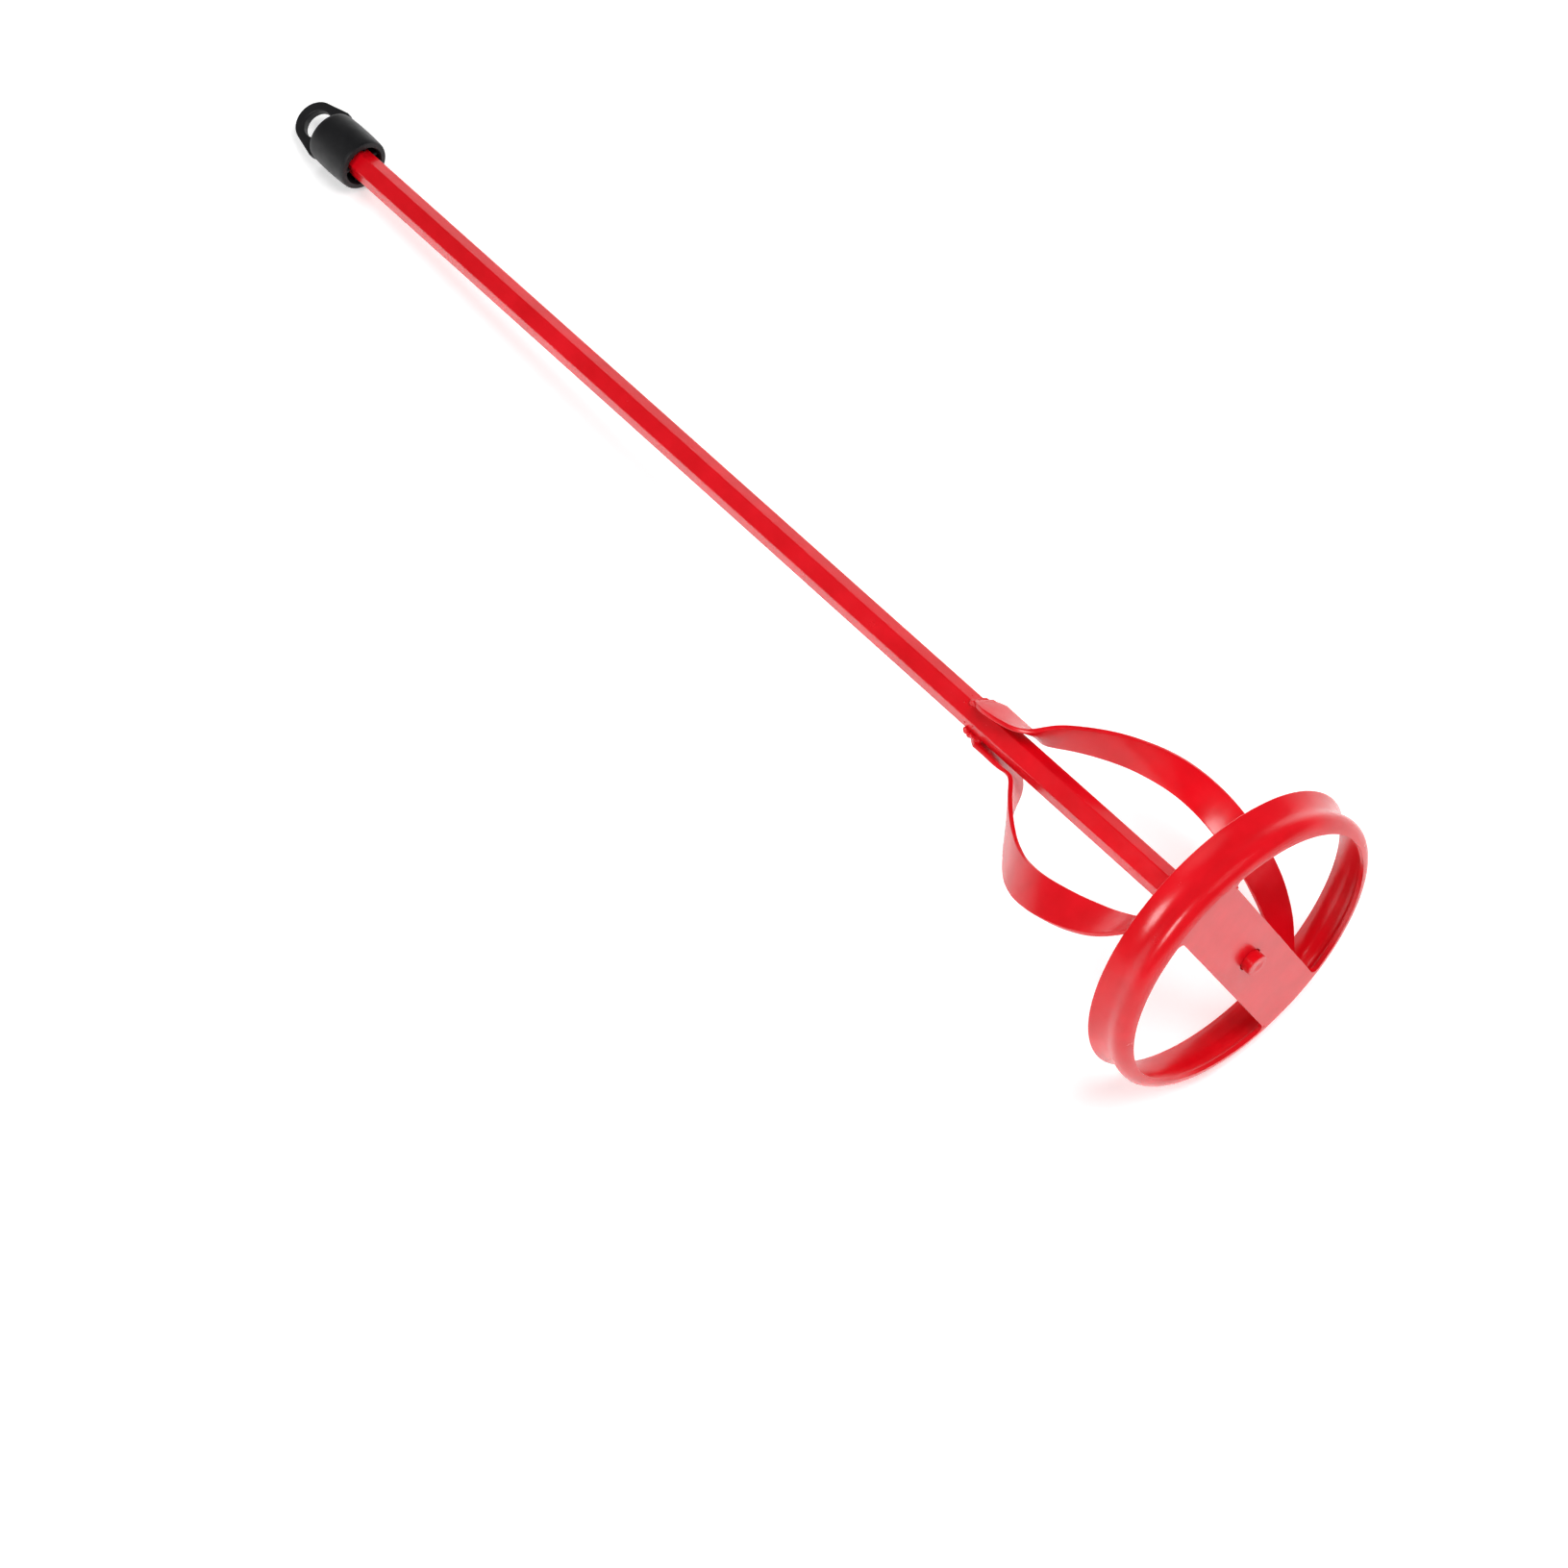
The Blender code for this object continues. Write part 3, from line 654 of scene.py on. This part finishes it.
def named(tree, name, kind='FLOAT'):
    """A value stored on the points under a name."""
    node = add_node(tree, "GeometryNodeInputNamedAttribute", {"data_type": kind}, Name=name)
    return node.outputs["Attribute"]


def vector_math(tree, operation, first, second):
    """A vector sum of two sockets; for SCALE the second is a number."""
    node = add_node(tree, "ShaderNodeVectorMath", {"operation": operation}, at={0: first})
    tree.links.new(second, node.inputs["Scale" if operation == 'SCALE' else 1])
    return node.outputs["Value" if operation == 'DOT_PRODUCT' else "Vector"]


def number_math(tree, operation, first, second):
    """A sum of two numbers, each a value or a socket."""
    node = add_node(tree, "ShaderNodeMath", {"operation": operation}, at={0: first, 1: second})
    return node.outputs["Value"]


def strip_tree():
    """Sweeps a rounded strip along a path; "across" turns it and "sheared" narrows it."""
    tree, given = start_tree("sheared_strip", {"Width": BLADE_WIDTH, "Thickness": BLADE_THICKNESS,
                                               "Edge Radius": BLADE_EDGE, "Near Trim": BLADE_TRIM[0],
                                               "Far Trim": BLADE_TRIM[1]})
    across = named(tree, "across", 'FLOAT_VECTOR')
    path = add_node(tree, "GeometryNodeMeshToCurve", Mesh=given["Geometry"]).outputs["Curve"]
    path = add_node(tree, "GeometryNodeSetCurveNormal", {"mode": 'FREE'}, Curve=path, Normal=across)
    section = add_node(tree, "GeometryNodeCurvePrimitiveQuadrilateral", Width=given["Width"],
                       Height=given["Thickness"])
    section = add_node(tree, "GeometryNodeFilletCurve", {"mode": 'POLY'}, Curve=section.outputs["Curve"],
                       Radius=given["Edge Radius"], Count=4)
    strip = add_node(tree, "GeometryNodeCurveToMesh", at={"Profile Curve": section.outputs["Curve"],
                                                          "Curve": path.outputs["Curve"], "Fill Caps": True})
    place = add_node(tree, "GeometryNodeInputPosition").outputs["Position"]
    offset = vector_math(tree, 'SUBTRACT', place, named(tree, "middle", 'FLOAT_VECTOR'))
    aside = vector_math(tree, 'DOT_PRODUCT', offset, across)
    near = number_math(tree, 'MULTIPLY', number_math(tree, 'MINIMUM', aside, 0.0), given["Near Trim"])
    far = number_math(tree, 'MULTIPLY', number_math(tree, 'MAXIMUM', aside, 0.0), given["Far Trim"])
    cut = number_math(tree, 'MULTIPLY', number_math(tree, 'ADD', near, far), named(tree, "sheared"))
    cut = number_math(tree, 'MULTIPLY', cut, -1.0)
    trimmed = add_node(tree, "GeometryNodeSetPosition", Geometry=strip.outputs["Mesh"],
                       Offset=vector_math(tree, 'SCALE', across, cut))
    return end_tree(tree, given, trimmed.outputs["Geometry"])


def path_object(name, points, attributes):
    """A chain of edges through points, with one attribute value for each point."""
    mesh = bpy.data.meshes.new(name)
    mesh.from_pydata(points, [(k, k + 1) for k in range(len(points) - 1)], [])
    for key, (kind, values) in attributes.items():
        field = "vector" if kind == 'FLOAT_VECTOR' else "value"
        layer = mesh.attributes.new(key, kind, 'POINT')
        layer.data.foreach_set(field, np.asarray(values, np.float32).ravel())
    obj = bpy.data.objects.new(name, mesh)
    bpy.context.scene.collection.objects.link(obj)
    return obj


def make_blade(letter, turn, tree):
    """One strip from its welded top on the shaft down to the cross bar."""
    spin = Matrix.Rotation(turn, 3, 'Z')
    points, across, trims = [], [], []
    for share, point, direction in blade_path():
        points.append(spin @ point)
        across.append(spin @ direction)
        trims.append(max(0.0, 1.0 - share / BLADE_TRIM_LENGTH))
    blade = path_object("spiral_strip_" + letter, points,
                        {"across": ('FLOAT_VECTOR', across), "middle": ('FLOAT_VECTOR', points),
                         "sheared": ('FLOAT', trims)})
    grow(blade, tree, enamel)
    shape = bmesh.new()
    shape.from_mesh(blade.data)
    bmesh.ops.remove_doubles(shape, verts=shape.verts, dist=1e-6)
    bmesh.ops.recalc_face_normals(shape, faces=shape.faces)
    shape.to_mesh(blade.data)
    shape.free()
    uneven(blade, *BLADE_WAVE, 11.0 + turn)
    lay(blade, enamel, "mixer", "red_enamel", "spiral_blade_" + letter, sharp=60)


# ---------------------------------------------------------------- welds

def weld_tree():
    """Lays uneven round beads on every point of a path, one lapping over the next."""
    tree, given = start_tree("weld_ripples", {"Bead Radius": BEAD_RADIUS, "Unevenness": BEAD_UNEVENNESS})
    drop = add_node(tree, "GeometryNodeMeshIcoSphere", Radius=given["Bead Radius"], Subdivisions=4)
    low = number_math(tree, 'SUBTRACT', 1.0, given["Unevenness"])
    high = number_math(tree, 'ADD', 1.0, given["Unevenness"])
    swell = add_node(tree, "FunctionNodeRandomValue", {"data_type": 'FLOAT'}, Min=low, Max=high, Seed=5)
    beads = add_node(tree, "GeometryNodeInstanceOnPoints", Points=given["Geometry"],
                     Instance=drop.outputs["Mesh"], Scale=swell.outputs["Value"])
    return end_tree(tree, given, beads.outputs["Instances"])


def make_weld(name, points, tree, cad_node, seed):
    """A run of weld: beads along the points, melted together and lightly pitted."""
    weld = path_object(name, points, {})
    grow(weld, tree, enamel)
    melt = weld.modifiers.new("melt", 'REMESH')
    melt.mode = 'VOXEL'
    melt.voxel_size = WELD_GRAIN
    settle(weld)
    soften = weld.modifiers.new("soften", 'SMOOTH')
    soften.factor = 0.5
    soften.iterations = 4
    settle(weld)
    uneven(weld, *WELD_WAVE, seed)
    uneven(weld, *WELD_PITS, seed + 7.0)
    lay(weld, enamel, "mixer", "red_enamel", cad_node, sharp=180)


def make_welds():
    """The blades' welds on the shaft and on the bar, and the fillet round the shaft's foot."""
    tree = weld_tree()
    path = blade_path()
    top_point, top_across = path[0][1], path[0][2]
    outwards = Vector((top_point.x, top_point.y, 0.0)).normalized()
    base = outwards * (HEX_APOTHEM + SHAFT_WELD_DEPTH)
    upright = Vector((0.0, 0.0, 1.0))
    end_point, end_across = path[-1][1], path[-1][2]
    for letter, turn in (("a", 0.0), ("b", math.pi)):
        spin = Matrix.Rotation(turn, 3, 'Z')
        points = []
        for share in np.linspace(-1.0, 1.0, 9):
            sideways = top_across * (share * SHAFT_WELD_REACH)
            height = BLADE_TOP + SHAFT_WELD_LIFT + SHAFT_WELD_WANDER * math.sin(share * 4.0 + turn)
            points.append(spin @ (base + sideways + upright * height))
        for share in np.linspace(0.0, 1.0, 7)[1:]:
            sideways = top_across * (SIDE_WELD_OFFSET - SIDE_WELD_DRIFT * share)
            points.append(spin @ (base + sideways + upright * (BLADE_TOP - share * SIDE_WELD_LENGTH)))
        make_weld("blade_weld_" + letter, points, tree, "shaft_weld_" + letter, 2.0 + turn)
        points = []
        for share in np.linspace(-1.0, 1.0, 9):
            along = end_across * (share * BAR_WELD_REACH)
            flat = Vector((end_point.x, end_point.y, SHEET + WELD_LIFT)) + Vector((along.x, along.y, 0.0))
            side = Vector((-end_across.y, end_across.x, 0.0)).normalized()
            points.append(spin @ (flat + side * BLADE_THICKNESS * 0.6))
        make_weld("landing_weld_" + letter, points, tree, "bar_weld_" + letter, 4.0 + turn)
    points = []
    radius = HEX_APOTHEM + FOOT_WELD_OFFSET
    for angle in np.arange(0, 360, 15):
        turn = math.radians(angle)
        points.append(Vector((radius * math.cos(turn), radius * math.sin(turn), SHEET + WELD_LIFT)))
    make_weld("foot_fillet", points, tree, "shaft_foot_weld", 6.0)


def spatter_tree():
    """Throws small round drops onto the faces it is given, and keeps only the drops."""
    tree, given = start_tree("weld_spatter", {"Smallest": 0.00010, "Largest": 0.00034, "Density": 60000.0,
                                              "Spacing": 0.0012})
    spots = add_node(tree, "GeometryNodeDistributePointsOnFaces", {"distribute_method": 'POISSON'},
                     Mesh=given["Geometry"], Seed=SPATTER_SEED,
                     at={"Distance Min": given["Spacing"], "Density Max": given["Density"]})
    drop = add_node(tree, "GeometryNodeMeshIcoSphere", Radius=1.0, Subdivisions=3)
    size = add_node(tree, "FunctionNodeRandomValue", {"data_type": 'FLOAT'}, Min=given["Smallest"],
                    Max=given["Largest"], Seed=SPATTER_SEED + 1)
    drops = add_node(tree, "GeometryNodeInstanceOnPoints", Points=spots.outputs["Points"],
                     Instance=drop.outputs["Mesh"], Scale=size.outputs["Value"])
    return end_tree(tree, given, drops.outputs["Instances"])


def make_spatter():
    """Drops of weld spatter, painted over, on the shaft round the blades' tops and on the bar."""
    tree = spatter_tree()
    sleeve = [[(x, y, BLADE_TOP + height) for x, y in hexagon(HEX_APOTHEM, HEX_EDGE_RADIUS)]
              for height in SPATTER_BAND]
    patch = [[(x, y, height) for x, y in SPATTER_PATCH] for height in (SHEET - SPATTER_BED, SHEET)]
    open_sleeve = lofted(sleeve)
    ends = [face for face in open_sleeve.faces if abs(face.normal.z) > 0.5]
    bmesh.ops.delete(open_sleeve, geom=ends, context='FACES')
    for name, shape in (("spatter_on_shaft", open_sleeve), ("spatter_on_bar", lofted(patch))):
        bed = show(name, shape)
        grow(bed, tree, enamel)
        lay(bed, enamel, "mixer", "red_enamel", sharp=180)


def drip_tree():
    """Sets a round blob of paint on each point, as big as its "size"."""
    tree, given = start_tree("paint_drips", {"Roundness": 1.0})
    blob = add_node(tree, "GeometryNodeMeshIcoSphere", Radius=given["Roundness"], Subdivisions=4)
    blobs = add_node(tree, "GeometryNodeInstanceOnPoints", Points=given["Geometry"],
                     Instance=blob.outputs["Mesh"], Scale=named(tree, "size"))
    return end_tree(tree, given, blobs.outputs["Instances"])


def make_drips():
    """Blobs of paint and burr left at the corners of the punched openings."""
    points = [place for place, size in DRIPS]
    sizes = [size for place, size in DRIPS]
    drips = path_object("paint_drips", points, {"size": ('FLOAT', sizes)})
    grow(drips, drip_tree(), enamel)
    uneven(drips, *DRIP_WAVE, 21.0)
    lay(drips, enamel, "mixer", "red_enamel", sharp=180)


# ---------------------------------------------------------------- cap

def cap_outline():
    """Barrel of the cap, with a blind bore, a chamfered mouth and softened corners."""
    chamfer = CAP_MOUTH_CHAMFER
    side = []
    for share in np.linspace(*CAP_SWELL_SPAN, 12):
        side.append((CAP_RADIUS + CAP_SWELL * math.sin(math.pi * share), share * CAP_LENGTH))
    end = arc((CAP_RADIUS - CAP_END_ROUND, CAP_LENGTH - CAP_END_ROUND), CAP_END_ROUND, 0, 90, 6)
    bore_end = CAP_LENGTH - CAP_END_WALL
    return ([(CAP_BORE + chamfer / 2, 0.0), (CAP_RADIUS - chamfer, 0.0),
             (CAP_RADIUS - chamfer * 0.3, chamfer * 0.3), (CAP_RADIUS, chamfer)] + side + end
            + [(0.0, CAP_LENGTH), (0.0, bore_end), (CAP_BORE, bore_end), (CAP_BORE, chamfer)])


def eye_outline():
    """The flat tongue: square shoulders over the barrel, straight sides and a round tip."""
    tip_centre = CAP_HIGH.z - CAP_LOW.z - EYE_TIP_RADIUS
    shoulder = CAP_LENGTH
    root = CAP_LENGTH - EYE_ROOT
    lean = math.degrees(math.atan2(EYE_HALF_WIDTH - EYE_TIP_RADIUS, tip_centre - shoulder))
    right = [(CAP_RADIUS - CAP_END_ROUND, root), (EYE_HALF_WIDTH - GAP, root), (EYE_HALF_WIDTH, shoulder)]
    left = [(-x, z) for x, z in reversed(right)]
    return right + arc((0.0, tip_centre), EYE_TIP_RADIUS, lean, 180 - lean, 40) + left


def rib_tree():
    """Stands upright ribs in a ring inside the bore, one for each flat of the shaft."""
    tree, given = start_tree("grip_ribs", {"Rib Width": RIB_WIDTH})
    depth = CAP_BORE - HEX_APOTHEM
    length = CAP_LENGTH - CAP_END_WALL - RIB_SET_BACK
    size = add_node(tree, "ShaderNodeCombineXYZ", X=depth, Y=given["Rib Width"], Z=length)
    rib = add_node(tree, "GeometryNodeMeshCube", Size=size.outputs["Vector"])
    facing = named(tree, "facing", 'FLOAT_VECTOR')
    turn = add_node(tree, "FunctionNodeAlignRotationToVector", {"axis": 'X', "pivot_axis": 'Z'},
                    Vector=facing)
    ribs = add_node(tree, "GeometryNodeInstanceOnPoints", Points=given["Geometry"],
                    Instance=rib.outputs["Mesh"], Rotation=turn.outputs["Rotation"])
    return end_tree(tree, given, ribs.outputs["Instances"])


def make_cap():
    """The push-on cap: barrel, hanging eye and the ribs that grip the shaft."""
    mouth = CAP_LOW.z
    cap = show("push_on_cap", turned(cap_outline(), CAP_SIDES))
    half = EYE_THICKNESS / 2
    eye = show("eye", lofted([[(x, y, z) for y, z in eye_outline()] for x in (-half, half)]))
    hole_height = CAP_LENGTH + EYE_HOLE_HEIGHT
    hole = arc((0.0, hole_height), EYE_HOLE_RADIUS, 0, 360, 64)[:-1]
    hole_loops = [[(x, y, z) for y, z in hole] for x in (-2 * half, 2 * half)]
    combine(eye, lofted(hole_loops), 'DIFFERENCE')
    round_edges(eye, EYE_EDGE, segments=4, angle=40)
    shape = bmesh.new()
    shape.from_mesh(eye.data)
    bpy.data.objects.remove(eye)
    combine(cap, shape, 'UNION')
    combine(cap, lofted(hole_loops), 'DIFFERENCE')
    cap.data.transform(Matrix.Translation((0.0, 0.0, mouth)))
    lay(cap, plastic, "cap", "black_plastic", "hanging_cap", sharp=35, flat=True)

    angles = [math.radians(HEX_ROLL + 60 * k) for k in range(RIB_COUNT)]
    radius = (CAP_BORE + HEX_APOTHEM + GAP) / 2
    height = mouth + RIB_SET_BACK + (CAP_LENGTH - CAP_END_WALL - RIB_SET_BACK) / 2
    points = [(radius * math.cos(a), radius * math.sin(a), height) for a in angles]
    facing = [(math.cos(a), math.sin(a), 0.0) for a in angles]
    ribs = path_object("grip_ribs", points, {"facing": ('FLOAT_VECTOR', facing)})
    grow(ribs, rib_tree(), plastic)
    shape = bmesh.new()
    shape.from_mesh(ribs.data)
    bmesh.ops.remove_doubles(shape, verts=shape.verts, dist=1e-7)
    shape.to_mesh(ribs.data)
    shape.free()
    round_edges(ribs, RIB_EDGE, segments=3, angle=40)
    lay(ribs, plastic, "cap", "black_plastic", sharp=40)


camera()
studio()
floor()
enamel = red_enamel()
plastic = black_plastic()
make_shaft()
make_ring()
strip = strip_tree()
make_blade("a", 0.0, strip)
make_blade("b", math.pi, strip)
make_welds()
make_spatter()
make_drips()
make_cap()
